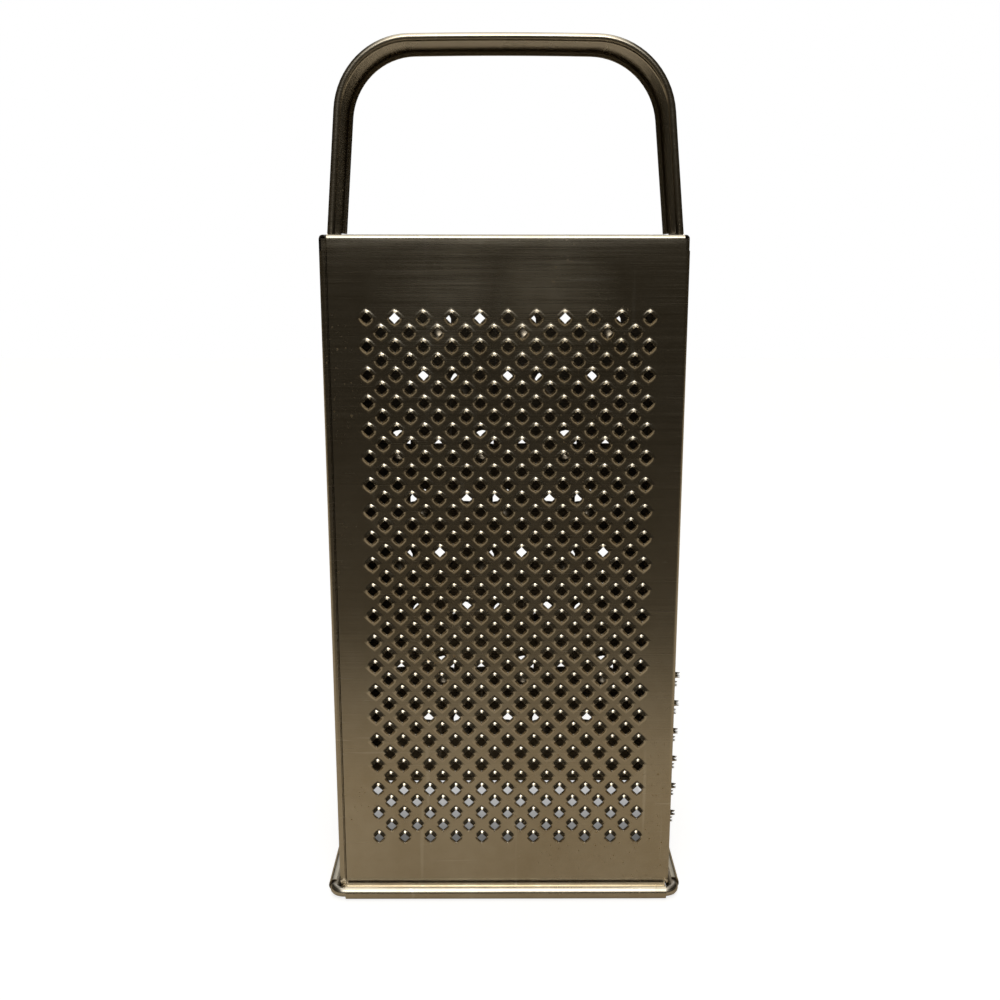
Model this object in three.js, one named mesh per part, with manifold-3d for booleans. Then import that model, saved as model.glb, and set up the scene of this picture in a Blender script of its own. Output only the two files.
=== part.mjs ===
// Four-sided box grater: four stamped steel plates lapped at the corners, a wire rolled into
// their base hems, and a channel strap handle riveted to the two narrow sides.
// Millimetres, +Z up. The origin is the middle of the base, and the fine side faces -Y.

import * as THREE from 'three';
import { mergeVertices } from 'three/addons/utils/BufferGeometryUtils.js';
import Module from 'manifold-3d';

const wasm = await Module();
wasm.setup();

// Body
const BODY_WIDTH = 101;
const BODY_DEPTH = 76;
const BODY_HEIGHT = 197.5;
const SHEET = 0.5;
const FIT = 0.3; // air left between two pieces that touch

// Lapped corners: each plate wraps round its right edge, over the tucked left edge of the next
const CORNER_RADIUS = 1.2;
const FLANGE = 0.9;
const SEAM = 0.6;
const JOGGLE = 0.4;

// Base hem: the sheet flares out, then rolls round the base wire
const WIRE_DIAMETER = 2.9;
const HEM_FLARE = 0.2;
const FLARE_HEIGHT = 11;
const HEM_SETBACK = 1.3;
const HEM_OPEN_ANGLE = THREE.MathUtils.degToRad(55);
const HEM_STEP = THREE.MathUtils.degToRad(40);
const CORNER_FOOT = 4.5;

// Top edge, folded inwards
const FOLD_RADIUS = 1;
const FOLD_LEG = 4;

// Fine side: diamond holes in staggered rows, each in a collar pushed outwards
const FINE_PITCH = 7.8;
const FINE_TOP_MARGIN = 22.3;
const FINE_FOOT_MARGIN = 19;
const FINE_SIDE_MARGIN = 11;
const FINE_SHIFT = 1;
const FINE_BASE = 4.4;
const FINE_HOLE = 3.1;
const FINE_RAISE = 0.8;

// Coarse side: shredding scoops
const COARSE_PITCH = 14.3;
const COARSE_ROW = 20.5;
const COARSE_TOP_MARGIN = 29.5;
const COARSE_FOOT_MARGIN = 22;
const COARSE_SIDE_MARGIN = 14;
const COARSE_SCOOP = { width: 8, mouth: 5.2, tail: 5.5, tailWidth: 3, lip: 5, lift: 2.2 };

// Zesting points, low on the right side
const ZEST_PITCH = 9;
const ZEST_ROW = 4.5;
const ZEST_FOOT = 19;
const ZEST_TOP = 68.8;
const ZEST_SIDE_MARGIN = 4.5;
const ZEST_BASE = 2;
const ZEST_RAISE = 1.4;

// Slicing slots on the narrow sides
const SLICE_SCOOP = { width: 50, mouth: 4, tail: 9, tailWidth: 44, lip: 46, lift: 1.8 };
const SLICE_ROW = 42;
const LEFT_SLICE_FOOT = 42;
const LEFT_SLICES = 3;
const RIGHT_SLICE_FOOT = 95;
const RIGHT_SLICES = 2;

// Handle: a strap bent to an arch, its edges folded in, its tongues outside the narrow sides
const STRAP_WIDTH = 31;
const STRAP_THICKNESS = 0.7;
const RIM_DEPTH = 2.3;
const RIM_THICKNESS = 1.4;
const HANDLE_RISE = 54.7;
const HANDLE_LEAN = THREE.MathUtils.degToRad(4.3);
const HANDLE_CORNER = 19.2;
const HANDLE_CROWN = 450;
const TONGUE_LENGTH = 28;
const TONGUE_CORNER = 6;

// Rivets
const RIVET_SHANK = 3;
const RIVET_HEAD = 6;
const RIVET_DOME = 1.2;
const RIVET_TAIL = 0.8;
const RIVET_DROP = 15;
const RIVET_SPACING = 14;

// Facets of round forms: a drawn arc has two for each step
const BEND_STEPS = 1;
const FOLD_STEPS = 2;
const TONGUE_STEPS = 2;
const HANDLE_STEPS = 3;
const WIRE_FACETS = 3;
const ROUND_SIDES = 8;
const ZEST_SIDES = 3;

// How far pieces of one sheet run into each other before they are joined
const OVERLAP = 0.6;

// Derived places
const HEM_INNER = WIRE_DIAMETER / 2 + FIT;
const HEM_OUTER = HEM_INNER + SHEET;
const WIRE_OFFSET = HEM_FLARE + HEM_INNER;
const WIRE_HEIGHT = HEM_OUTER * Math.cos(HEM_STEP / 2);
const WIRE_BEND = WIRE_OFFSET + HEM_SETBACK - FIT;
const TUCK = SHEET + FIT;
const PLATE_TOP = BODY_HEIGHT - FOLD_RADIUS;
const STRAP_FACE = BODY_WIDTH / 2 + FIT + STRAP_THICKNESS;

// Directions that a profile's two axes and its extrusion take
const ACROSS = new THREE.Matrix4().makeBasis(
  new THREE.Vector3(0, 1, 0),
  new THREE.Vector3(0, 0, 1),
  new THREE.Vector3(1, 0, 0),
);
const FRONT_TO_BACK = new THREE.Matrix4().makeBasis(
  new THREE.Vector3(1, 0, 0),
  new THREE.Vector3(0, 0, 1),
  new THREE.Vector3(0, -1, 0),
);

// Solids

function solidOf(geometry) {
  const bare = geometry.clone();
  bare.deleteAttribute('normal');
  bare.deleteAttribute('uv');
  const merged = mergeVertices(bare);
  return new wasm.Manifold(new wasm.Mesh({
    numProp: 3,
    vertProperties: new Float32Array(merged.attributes.position.array),
    triVerts: new Uint32Array(merged.index.array),
  }));
}

function geometryOf(solid) {
  const mesh = solid.getMesh();
  const geometry = new THREE.BufferGeometry();
  geometry.setAttribute('position', new THREE.BufferAttribute(mesh.vertProperties, 3));
  geometry.setIndex(new THREE.BufferAttribute(mesh.triVerts, 1));
  geometry.computeVertexNormals();
  return geometry;
}

function geometryOfFacets(facets) {
  const geometry = new THREE.BufferGeometry();
  geometry.setFromPoints(facets.flat());
  return geometry;
}

function extruded(shape, depth, curveSegments) {
  return new THREE.ExtrudeGeometry(shape, { depth, curveSegments, bevelEnabled: false });
}

function extrudedUp(shape, bottom, top) {
  return solidOf(extruded(shape, top - bottom, BEND_STEPS).translate(0, 0, bottom));
}

function extrudedAcross(shape, left, right, curveSegments) {
  const geometry = extruded(shape, right - left, curveSegments).applyMatrix4(ACROSS);
  return solidOf(geometry.translate(left, 0, 0));
}

function runBack(shape, front, back, curveSegments) {
  return extruded(shape, back - front, curveSegments).applyMatrix4(FRONT_TO_BACK).translate(0, back, 0);
}

function extrudedBack(shape, front, back, curveSegments) {
  return solidOf(runBack(shape, front, back, curveSegments));
}

function joined(solids) {
  return solids.reduce((whole, solid) => whole.add(solid));
}

// Facets between outlines

function lifted(outline, y) {
  return outline.map((point) => new THREE.Vector3(point.x, y, point.z));
}

function quad(a, b, c, d) {
  return [[a, b, c], [a, c, d]];
}

function walls(first, second) {
  return first.flatMap((point, k) => {
    const next = (k + 1) % first.length;
    return quad(point, first[next], second[next], second[k]);
  });
}

// Fine side: the flat land between the teeth is filled strip by strip, from row to row.
// Points of a row run left to right, and their order says when a strip takes them in.

function zipped(lower, upper) {
  const facets = [];
  let low = 0;
  let high = 0;
  while (low < lower.length - 1 || high < upper.length - 1) {
    const takeLow = high === upper.length - 1
      || (low < lower.length - 1 && lower[low + 1].order <= upper[high + 1].order);
    facets.push([lower[low], takeLow ? lower[low + 1] : upper[high + 1], upper[high]]);
    low += takeLow ? 1 : 0;
    high += takeLow ? 0 : 1;
  }
  return facets;
}

// A row's points along the upper (1) or lower (-1) edges of its teeth, from border to border
function rowChain(row, edge, left, right) {
  const reach = FINE_BASE / 2;
  const stagger = FINE_PITCH / 3;
  const last = row.centres[row.centres.length - 1];
  return [
    { x: left, z: row.z, order: -Infinity },
    ...row.centres.flatMap((x) => [
      { x: x - reach, z: row.z, order: x - stagger },
      { x, z: row.z + edge * reach, order: x },
      { x: x + reach, z: row.z, order: x + stagger },
    ]),
    { x: right, z: row.z, order: last + FINE_PITCH - stagger },
  ];
}

function borderChain(row, z, left, right) {
  return [
    { x: left, z, order: -Infinity },
    ...row.centres.map((x) => ({ x, z, order: x })),
    { x: right, z, order: Infinity },
  ];
}

// A tooth punched outwards: a four-sided rim with a sharp edge round a diamond hole
function diamondTooth(x, z) {
  const diamond = (reach) => [[reach, 0], [0, reach], [-reach, 0], [0, -reach]]
    .map(([dx, dz]) => ({ x: x + dx, z: z + dz }));
  const base = diamond(FINE_BASE / 2);
  const rim = lifted(diamond(FINE_HOLE / 2), -FINE_RAISE);
  return [...walls(lifted(base, 0), rim), ...walls(rim, lifted(base, SHEET))];
}

function finePlate(left, right, bottom, top) {
  const rows = fineRows();
  const bottomChain = borderChain(rows[0], bottom, left, right);
  const topChain = borderChain(rows[rows.length - 1], top, left, right);
  const chains = [
    bottomChain,
    ...rows.flatMap((row) => [rowChain(row, -1, left, right), rowChain(row, 1, left, right)]),
    topChain,
  ];
  const land = [];
  for (let k = 0; k < chains.length; k += 2) {
    land.push(...zipped(chains[k], chains[k + 1]));
  }
  const border = [
    ...bottomChain,
    ...rows.map((row) => ({ x: right, z: row.z })),
    ...topChain.reverse(),
    ...rows.map((row) => ({ x: left, z: row.z })).reverse(),
  ];
  return solidOf(geometryOfFacets([
    ...land.map((facet) => lifted(facet, 0)),
    ...land.map((facet) => lifted(facet, SHEET).reverse()),
    ...walls(lifted(border, SHEET), lifted(border, 0)),
    ...rows.flatMap((row) => row.centres.flatMap((x) => diamondTooth(x, row.z))),
  ]));
}

// Patterns

function copiesIn(length, pitch) {
  return Math.floor(length / pitch) + 1;
}

// Staggered rows, lowest first: every second row, but not the top one, has one place fewer
function staggeredRows(columns, pitch, rows, rowPitch, middle, top) {
  return Array.from({ length: rows }, (_, k) => {
    const level = rows - 1 - k;
    const count = columns - level % 2;
    const left = middle - (count - 1) * pitch / 2;
    return {
      z: top - level * rowPitch,
      centres: Array.from({ length: count }, (__, column) => left + column * pitch),
    };
  });
}

function fineRows() {
  const rowPitch = FINE_PITCH / 2;
  const columns = copiesIn(BODY_WIDTH - 2 * FINE_SIDE_MARGIN, FINE_PITCH);
  const rows = copiesIn(BODY_HEIGHT - FINE_TOP_MARGIN - FINE_FOOT_MARGIN, rowPitch);
  return staggeredRows(columns, FINE_PITCH, rows, rowPitch, FINE_SHIFT, BODY_HEIGHT - FINE_TOP_MARGIN);
}

function coarseRows() {
  const columns = copiesIn(BODY_WIDTH - 2 * COARSE_SIDE_MARGIN, COARSE_PITCH);
  const rows = copiesIn(BODY_HEIGHT - COARSE_TOP_MARGIN - COARSE_FOOT_MARGIN, COARSE_ROW);
  return staggeredRows(columns, COARSE_PITCH, rows, COARSE_ROW, 0, BODY_HEIGHT - COARSE_TOP_MARGIN);
}

function zestRows() {
  const columns = copiesIn(BODY_DEPTH - 2 * ZEST_SIDE_MARGIN, ZEST_PITCH);
  const rows = copiesIn(ZEST_TOP - ZEST_FOOT, ZEST_ROW);
  return staggeredRows(columns, ZEST_PITCH, rows, ZEST_ROW, 0, ZEST_TOP);
}

function placesOf(rows) {
  return rows.flatMap((row) => row.centres.map((x) => ({ x, z: row.z })));
}

function slotPlaces(count, foot) {
  return Array.from({ length: count }, (_, k) => ({ x: 0, z: foot + k * SLICE_ROW }));
}

// Scoops: a tongue of sheet pushed out below a hole, with its cutting lip facing up at z

function scoopOutline(size) {
  const side = size.width / 2;
  const tail = size.tailWidth / 2;
  return [
    { x: -tail, z: -size.tail },
    { x: tail, z: -size.tail },
    { x: side, z: 0 },
    { x: side, z: size.mouth },
    { x: -side, z: size.mouth },
    { x: -side, z: 0 },
  ];
}

function scoopHole(size) {
  const shape = new THREE.Shape(scoopOutline(size).map((point) => new THREE.Vector2(point.x, point.z)));
  return runBack(shape, -SHEET, 2 * SHEET, 1);
}

function scoopHood(size) {
  const outline = scoopOutline(size);
  const lip = [{ x: size.lip / 2, z: 0 }, { x: -size.lip / 2, z: 0 }];
  const rim = [outline[5], outline[0], outline[1], outline[2]];
  const [left, tailLeft, tailRight, right] = lifted(rim, 0);
  const [leftIn, tailLeftIn, tailRightIn, rightIn] = lifted(rim, SHEET);
  const [lipRight, lipLeft] = lifted(lip, -size.lift);
  const [lipRightIn, lipLeftIn] = lifted(lip, SHEET - size.lift);
  return geometryOfFacets([
    [tailRight, right, lipRight],
    ...quad(tailLeft, tailRight, lipRight, lipLeft),
    [tailLeft, lipLeft, left],
    [tailRightIn, lipRightIn, rightIn],
    ...quad(tailLeftIn, lipLeftIn, lipRightIn, tailRightIn),
    [tailLeftIn, leftIn, lipLeftIn],
    ...quad(right, rightIn, lipRightIn, lipRight),
    ...quad(lipRight, lipRightIn, lipLeftIn, lipLeft),
    ...quad(lipLeft, lipLeftIn, leftIn, left),
    ...quad(leftIn, tailLeftIn, tailLeft, left),
    ...quad(tailLeftIn, tailRightIn, tailRight, tailLeft),
    ...quad(tailRightIn, rightIn, right, tailRight),
  ]);
}

function copiesAt(places, geometry) {
  return joined(places.map((place) => solidOf(geometry.clone().translate(place.x, 0, place.z))));
}

function scooped(plate, places, size) {
  return plate.subtract(copiesAt(places, scoopHole(size))).add(copiesAt(places, scoopHood(size)));
}

function plainPlate(left, right, bottom, top) {
  const plate = new THREE.BoxGeometry(right - left, SHEET, top - bottom);
  return solidOf(plate.translate((left + right) / 2, SHEET / 2, (bottom + top) / 2));
}

// A sharp three-sided point, rooted in the sheet
function zestPoint() {
  const height = ZEST_RAISE + SHEET / 2;
  const point = new THREE.ConeGeometry(ZEST_BASE / 2, height, ZEST_SIDES);
  return point.rotateX(Math.PI).translate(0, SHEET / 2 - height / 2, 0);
}

// Plates, drawn in their own frame: x across, outer face at y = 0 and facing -Y, z up

// The left edge, stepped in to lie under the next plate's flange
function tuckedEdge(half, face) {
  const edge = CORNER_RADIUS - half;
  const shift = SHEET * Math.tan(Math.atan2(TUCK, JOGGLE) / 2);
  return new THREE.Shape()
    .moveTo(edge, TUCK)
    .lineTo(face - JOGGLE, TUCK)
    .lineTo(face, 0)
    .lineTo(face + OVERLAP, 0)
    .lineTo(face + OVERLAP, SHEET)
    .lineTo(face + shift, SHEET)
    .lineTo(face - JOGGLE + shift, TUCK + SHEET)
    .lineTo(edge, TUCK + SHEET);
}

// The right edge, bent round the corner with a short flange
function bentEdge(half, bend) {
  return new THREE.Shape()
    .moveTo(bend - OVERLAP, 0)
    .lineTo(bend, 0)
    .absarc(bend, CORNER_RADIUS, CORNER_RADIUS, -Math.PI / 2, 0, false)
    .lineTo(half, CORNER_RADIUS + FLANGE)
    .lineTo(half - SHEET, CORNER_RADIUS + FLANGE)
    .absarc(bend, CORNER_RADIUS, CORNER_RADIUS - SHEET, 0, -Math.PI / 2, true)
    .lineTo(bend - OVERLAP, SHEET);
}

// The hem in y and z: down the flare, under the wire and up to an open raw edge
function hemProfile() {
  const angles = [Math.PI];
  const rawEdge = 3 * Math.PI - HEM_OPEN_ANGLE;
  const bottomFacet = 1.5 * Math.PI - HEM_STEP / 2;
  for (let angle = bottomFacet - HEM_STEP; angle < rawEdge; angle += HEM_STEP) {
    angles.push(angle);
  }
  angles.push(rawEdge);
  const onRoll = (radius) => (angle) => (
    new THREE.Vector2(-WIRE_OFFSET - radius * Math.cos(angle), WIRE_HEIGHT + radius * Math.sin(angle))
  );
  return new THREE.Shape([
    new THREE.Vector2(0, FLARE_HEIGHT + OVERLAP),
    new THREE.Vector2(0, FLARE_HEIGHT),
    ...angles.map(onRoll(HEM_INNER)),
    ...angles.reverse().map(onRoll(HEM_OUTER)),
    new THREE.Vector2(SHEET, FLARE_HEIGHT),
    new THREE.Vector2(SHEET, FLARE_HEIGHT + OVERLAP),
  ]);
}

// The fold in y and z: over the top and down inside
function foldProfile() {
  const inside = 2 * FOLD_RADIUS;
  return new THREE.Shape()
    .moveTo(0, PLATE_TOP - OVERLAP)
    .absarc(FOLD_RADIUS, PLATE_TOP, FOLD_RADIUS, Math.PI, 0, true)
    .lineTo(inside, PLATE_TOP - FOLD_LEG)
    .lineTo(inside - SHEET, PLATE_TOP - FOLD_LEG)
    .absarc(FOLD_RADIUS, PLATE_TOP, FOLD_RADIUS - SHEET, 0, Math.PI, false)
    .lineTo(SHEET, PLATE_TOP - OVERLAP);
}

function panel(width, plate) {
  const half = width / 2;
  const bend = half - CORNER_RADIUS;
  const face = SEAM + FLANGE + CORNER_RADIUS - half;
  const hemEnd = half - HEM_SETBACK;
  const foldEnd = half - TUCK - SHEET - FIT;
  return joined([
    plate(face, bend, FLARE_HEIGHT, PLATE_TOP),
    extrudedUp(tuckedEdge(half, face), FLARE_HEIGHT, PLATE_TOP),
    extrudedUp(bentEdge(half, bend), CORNER_FOOT, PLATE_TOP),
    extrudedAcross(hemProfile(), face, hemEnd, 1),
    extrudedAcross(foldProfile(), face, foldEnd, FOLD_STEPS),
  ]);
}

// Rivets through a narrow side, in a plate's own frame

function rivetPlaces() {
  return [-1, 1].map((side) => ({ x: side * RIVET_SPACING / 2, z: BODY_HEIGHT - RIVET_DROP }));
}

// Holes for one narrow side's rivets, in the plate's frame
function plateHoles() {
  return copiesAt(rivetPlaces(), rivetHole());
}

// The same holes in the handle's frame, turned to the side they belong to
function tongueHoles(turn) {
  const hole = rivetHole().translate(0, -BODY_WIDTH / 2, 0);
  return joined(rivetPlaces().map((place) => (
    solidOf(hole.clone().translate(place.x, 0, place.z).rotateZ(turn))
  )));
}

function rivetHole() {
  const radius = RIVET_SHANK / 2 + FIT;
  const reach = SHEET + STRAP_THICKNESS + 2 * FIT;
  return new THREE.CylinderGeometry(radius, radius, 2 * reach, ROUND_SIDES);
}

// The four plates' flat parts

function coarsePlate(...limits) {
  return scooped(plainPlate(...limits), placesOf(coarseRows()), COARSE_SCOOP);
}

function slicingPlate(...limits) {
  const plate = scooped(plainPlate(...limits), slotPlaces(LEFT_SLICES, LEFT_SLICE_FOOT), SLICE_SCOOP);
  return plate.subtract(plateHoles());
}

function zestingPlate(...limits) {
  const plate = scooped(plainPlate(...limits), slotPlaces(RIGHT_SLICES, RIGHT_SLICE_FOOT), SLICE_SCOOP);
  return plate.add(copiesAt(placesOf(zestRows()), zestPoint())).subtract(plateHoles());
}

// Handle, drawn in x and z

// The arch's round corner and crown, tangent to each other and to the leaning leg
function archPlaces() {
  const foot = new THREE.Vector2(STRAP_FACE, BODY_HEIGHT + FIT);
  const top = BODY_HEIGHT + HANDLE_RISE;
  const sine = Math.sin(HANDLE_LEAN);
  const reach = foot.x * Math.cos(HANDLE_LEAN) + foot.y * sine;
  const span = (reach - HANDLE_CORNER - sine * (top - HANDLE_CROWN)) / (HANDLE_CROWN - HANDLE_CORNER);
  const crown = Math.asin(span) - HANDLE_LEAN;
  const drop = HANDLE_CROWN - HANDLE_CORNER;
  const crownCentre = top - HANDLE_CROWN;
  const corner = new THREE.Vector2(drop * Math.sin(crown), crownCentre + drop * Math.cos(crown));
  return { foot, crown, crownCentre, corner };
}

// Draws the arch's face at a depth below its outer face, from the right leg to the left or back
function drawArch(shape, depth, leftwards) {
  const { crown, crownCentre, corner } = archPlaces();
  const lean = HANDLE_LEAN;
  const rise = Math.PI / 2 - crown;
  const fall = Math.PI / 2 + crown;
  const arcs = [
    [corner.x, corner.y, HANDLE_CORNER - depth, lean, rise],
    [0, crownCentre, HANDLE_CROWN - depth, rise, fall],
    [-corner.x, corner.y, HANDLE_CORNER - depth, fall, Math.PI - lean],
  ];
  if (leftwards) {
    arcs.forEach(([x, z, radius, from, to]) => shape.absarc(x, z, radius, from, to, false));
  } else {
    arcs.reverse().forEach(([x, z, radius, from, to]) => shape.absarc(x, z, radius, to, from, true));
  }
}

// The arch as a thick band with thin tongues below it
function archBlock(bottom) {
  const { foot } = archPlaces();
  const tongue = foot.x - STRAP_THICKNESS;
  const seat = foot.x - RIM_DEPTH / Math.cos(HANDLE_LEAN);
  const shape = new THREE.Shape().moveTo(foot.x, bottom).lineTo(foot.x, foot.y);
  drawArch(shape, 0, true);
  shape
    .lineTo(-foot.x, foot.y)
    .lineTo(-foot.x, bottom)
    .lineTo(-tongue, bottom)
    .lineTo(-tongue, foot.y)
    .lineTo(-seat, foot.y);
  drawArch(shape, RIM_DEPTH, false);
  return shape.lineTo(seat, foot.y).lineTo(tongue, foot.y).lineTo(tongue, bottom);
}

// All that lies inside the strap's inner face, down to the tongues
function archHollow() {
  const { foot } = archPlaces();
  const tongue = foot.x - STRAP_THICKNESS;
  const base = foot.y - STRAP_THICKNESS * Math.tan(HANDLE_LEAN / 2);
  const shape = new THREE.Shape().moveTo(tongue, base);
  drawArch(shape, STRAP_THICKNESS, true);
  return shape.lineTo(-tongue, base);
}

// The strap's outline seen from the side, with the tongues' round lower corners
function strapOutline(bottom) {
  const side = STRAP_WIDTH / 2;
  const top = BODY_HEIGHT + HANDLE_RISE + OVERLAP;
  const centre = { y: side - TONGUE_CORNER, z: bottom + TONGUE_CORNER };
  return new THREE.Shape()
    .moveTo(-side, top)
    .lineTo(-side, centre.z)
    .absarc(-centre.y, centre.z, TONGUE_CORNER, Math.PI, 1.5 * Math.PI, false)
    .absarc(centre.y, centre.z, TONGUE_CORNER, 1.5 * Math.PI, 2 * Math.PI, false)
    .lineTo(side, top);
}

function handle() {
  const side = STRAP_WIDTH / 2;
  const channel = side - RIM_THICKNESS;
  const bottom = BODY_HEIGHT - TONGUE_LENGTH;
  const reach = STRAP_FACE + OVERLAP;
  return extrudedBack(archBlock(bottom), -side, side, HANDLE_STEPS)
    .subtract(extrudedBack(archHollow(), -channel, channel, HANDLE_STEPS))
    .intersect(extrudedAcross(strapOutline(bottom), -reach, reach, TONGUE_STEPS))
    .subtract(tongueHoles(Math.PI / 2))
    .subtract(tongueHoles(-Math.PI / 2));
}

// A rivet along +Y: its upset tail inside the plate, its domed head outside the tongue
function rivet() {
  const shank = RIVET_SHANK / 2;
  const head = RIVET_HEAD / 2;
  const tailSeat = -SHEET - FIT;
  const headSeat = STRAP_THICKNESS + 2 * FIT;
  const shoulder = Math.PI / 4;
  const profile = [
    [0, tailSeat - RIVET_TAIL],
    [head, tailSeat],
    [shank, tailSeat],
    [shank, headSeat],
    [head, headSeat],
    [head * Math.cos(shoulder), headSeat + RIVET_DOME * Math.sin(shoulder)],
    [0, headSeat + RIVET_DOME],
  ].map(([radius, along]) => new THREE.Vector2(radius, along));
  return solidOf(new THREE.LatheGeometry(profile, ROUND_SIDES));
}

// The base wire: one closed ring with a round bend at each corner
function baseWire() {
  const reachX = BODY_WIDTH / 2 + WIRE_OFFSET - WIRE_BEND;
  const reachY = BODY_DEPTH / 2 + WIRE_OFFSET - WIRE_BEND;
  const corners = [[1, 1], [-1, 1], [-1, -1], [1, -1]];
  const sections = corners.flatMap(([signX, signY], corner) => (
    Array.from({ length: WIRE_FACETS + 1 }, (_, step) => {
      const turn = (corner + step / WIRE_FACETS) * Math.PI / 2;
      const out = new THREE.Vector3(Math.cos(turn), Math.sin(turn), 0);
      const centre = new THREE.Vector3(signX * reachX, signY * reachY, WIRE_HEIGHT);
      return wireSection(centre.addScaledVector(out, WIRE_BEND), out);
    })
  ));
  return solidOf(geometryOfFacets(sections.flatMap((section, k) => (
    walls(sections[(k + 1) % sections.length], section)
  ))));
}

function wireSection(centre, out) {
  return Array.from({ length: ROUND_SIDES }, (_, side) => {
    const angle = side * 2 * Math.PI / ROUND_SIDES;
    const point = centre.clone().addScaledVector(out, WIRE_DIAMETER / 2 * Math.cos(angle));
    point.z += WIRE_DIAMETER / 2 * Math.sin(angle);
    return point;
  });
}

// Assembly

function steel(color, roughness) {
  return new THREE.MeshStandardMaterial({ color, roughness, metalness: 1 });
}

function piece(name, solid, material) {
  const mesh = new THREE.Mesh(geometryOf(solid), material);
  mesh.name = name;
  return mesh;
}

const brushed = steel(0x8b8478, 0.35);
const bright = steel(0xb9b4aa, 0.25);
const drawn = steel(0xa39d92, 0.3);

const grater = new THREE.Group();

// The plates in turn, with the ends of their rivets from left to right
const WIDE = { width: BODY_WIDTH, reach: BODY_DEPTH / 2 };
const NARROW = { width: BODY_DEPTH, reach: BODY_WIDTH / 2 };
const SIDES = [
  { name: 'front', size: WIDE, plate: finePlate, rivets: [] },
  { name: 'right', size: NARROW, plate: zestingPlate, rivets: ['front', 'back'] },
  { name: 'back', size: WIDE, plate: coarsePlate, rivets: [] },
  { name: 'left', size: NARROW, plate: slicingPlate, rivets: ['back', 'front'] },
];

SIDES.forEach(({ name, size, plate, rivets }, turn) => {
  const side = new THREE.Group();
  side.rotation.z = turn * Math.PI / 2;
  const sheet = piece(`${name}_panel`, panel(size.width, plate), brushed);
  sheet.position.y = -size.reach;
  side.add(sheet);
  rivets.forEach((end, k) => {
    const fastener = piece(`rivet_${name}_${end}`, rivet(), bright);
    const place = rivetPlaces()[k];
    fastener.rotation.z = Math.PI;
    fastener.position.set(place.x, -size.reach, place.z);
    side.add(fastener);
  });
  grater.add(side);
});

grater.add(piece('handle', handle(), bright));
grater.add(piece('base_wire', baseWire(), drawn));

export default grater;
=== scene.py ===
"""Looks of a four-sided sheet steel box grater with a riveted strap handle.

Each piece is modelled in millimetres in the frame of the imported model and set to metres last.
"""

import logging
import math
from abc import ABC, abstractmethod
from collections.abc import Callable, Iterable
from dataclasses import dataclass
from enum import Enum

import bmesh
import bpy
from mathutils import Euler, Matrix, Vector


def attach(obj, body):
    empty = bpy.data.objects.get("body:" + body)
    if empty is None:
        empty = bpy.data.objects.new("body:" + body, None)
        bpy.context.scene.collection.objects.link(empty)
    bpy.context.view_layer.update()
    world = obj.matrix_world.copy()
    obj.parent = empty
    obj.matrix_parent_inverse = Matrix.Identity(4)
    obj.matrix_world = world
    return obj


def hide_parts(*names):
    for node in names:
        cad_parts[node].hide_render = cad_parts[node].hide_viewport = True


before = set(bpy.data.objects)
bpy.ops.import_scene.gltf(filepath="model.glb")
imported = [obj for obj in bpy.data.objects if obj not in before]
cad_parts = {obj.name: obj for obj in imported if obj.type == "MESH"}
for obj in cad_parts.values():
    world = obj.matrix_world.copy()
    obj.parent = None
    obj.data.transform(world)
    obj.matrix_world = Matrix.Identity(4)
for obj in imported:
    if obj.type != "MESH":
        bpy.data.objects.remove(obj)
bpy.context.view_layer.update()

LOG = logging.getLogger("grater")

MM = 0.001
NEAR = 0.01
FACING = 0.2
PLAIN_SMOOTHING = 32.0
TOOTH_SMOOTHING = 65.0

Place = tuple[float, float, float]
Colour = tuple[float, float, float]
Test = Callable[[Vector], bool]
Socket = bpy.types.NodeSocket

ALONG_X: Place = (1.0, 0.0, 0.0)
ALONG_Y: Place = (0.0, 1.0, 0.0)
ALONG_Z: Place = (0.0, 0.0, 1.0)
STANDING: Place = (math.pi / 2, 0.0, 0.0)
FACING_X: Place = (0.0, math.pi / 2, 0.0)
FORWARD: Place = (0.0, -1.0, 0.0)
INWARD: Place = (0.0, 1.0, 0.0)
ROLLING: Place = (-1.0, 0.0, 0.0)
ORIGIN: Place = (0.0, 0.0, 0.0)
FOLD_FACETS = 8
HEM_FACETS = 26
CORNER_FACETS = 6


def meets(value: float, level: float) -> bool:
    """Tell whether a value lies at a level."""
    return abs(value - level) < NEAR


def within(value: float, low: float, high: float) -> bool:
    """Tell whether a value lies between two levels or at one of them."""
    return low - NEAR < value < high + NEAR


def off_axis(place: Vector) -> float:
    """Give a place's distance from the axis that points to the front."""
    return math.hypot(place.x, place.z)


def everywhere(_: Vector) -> bool:
    """Take in any place."""
    return True


class Part(Enum):
    """What a selection takes in."""

    VERTICES = "VERT"
    EDGES = "EDGE"
    FACES = "FACE"


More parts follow.
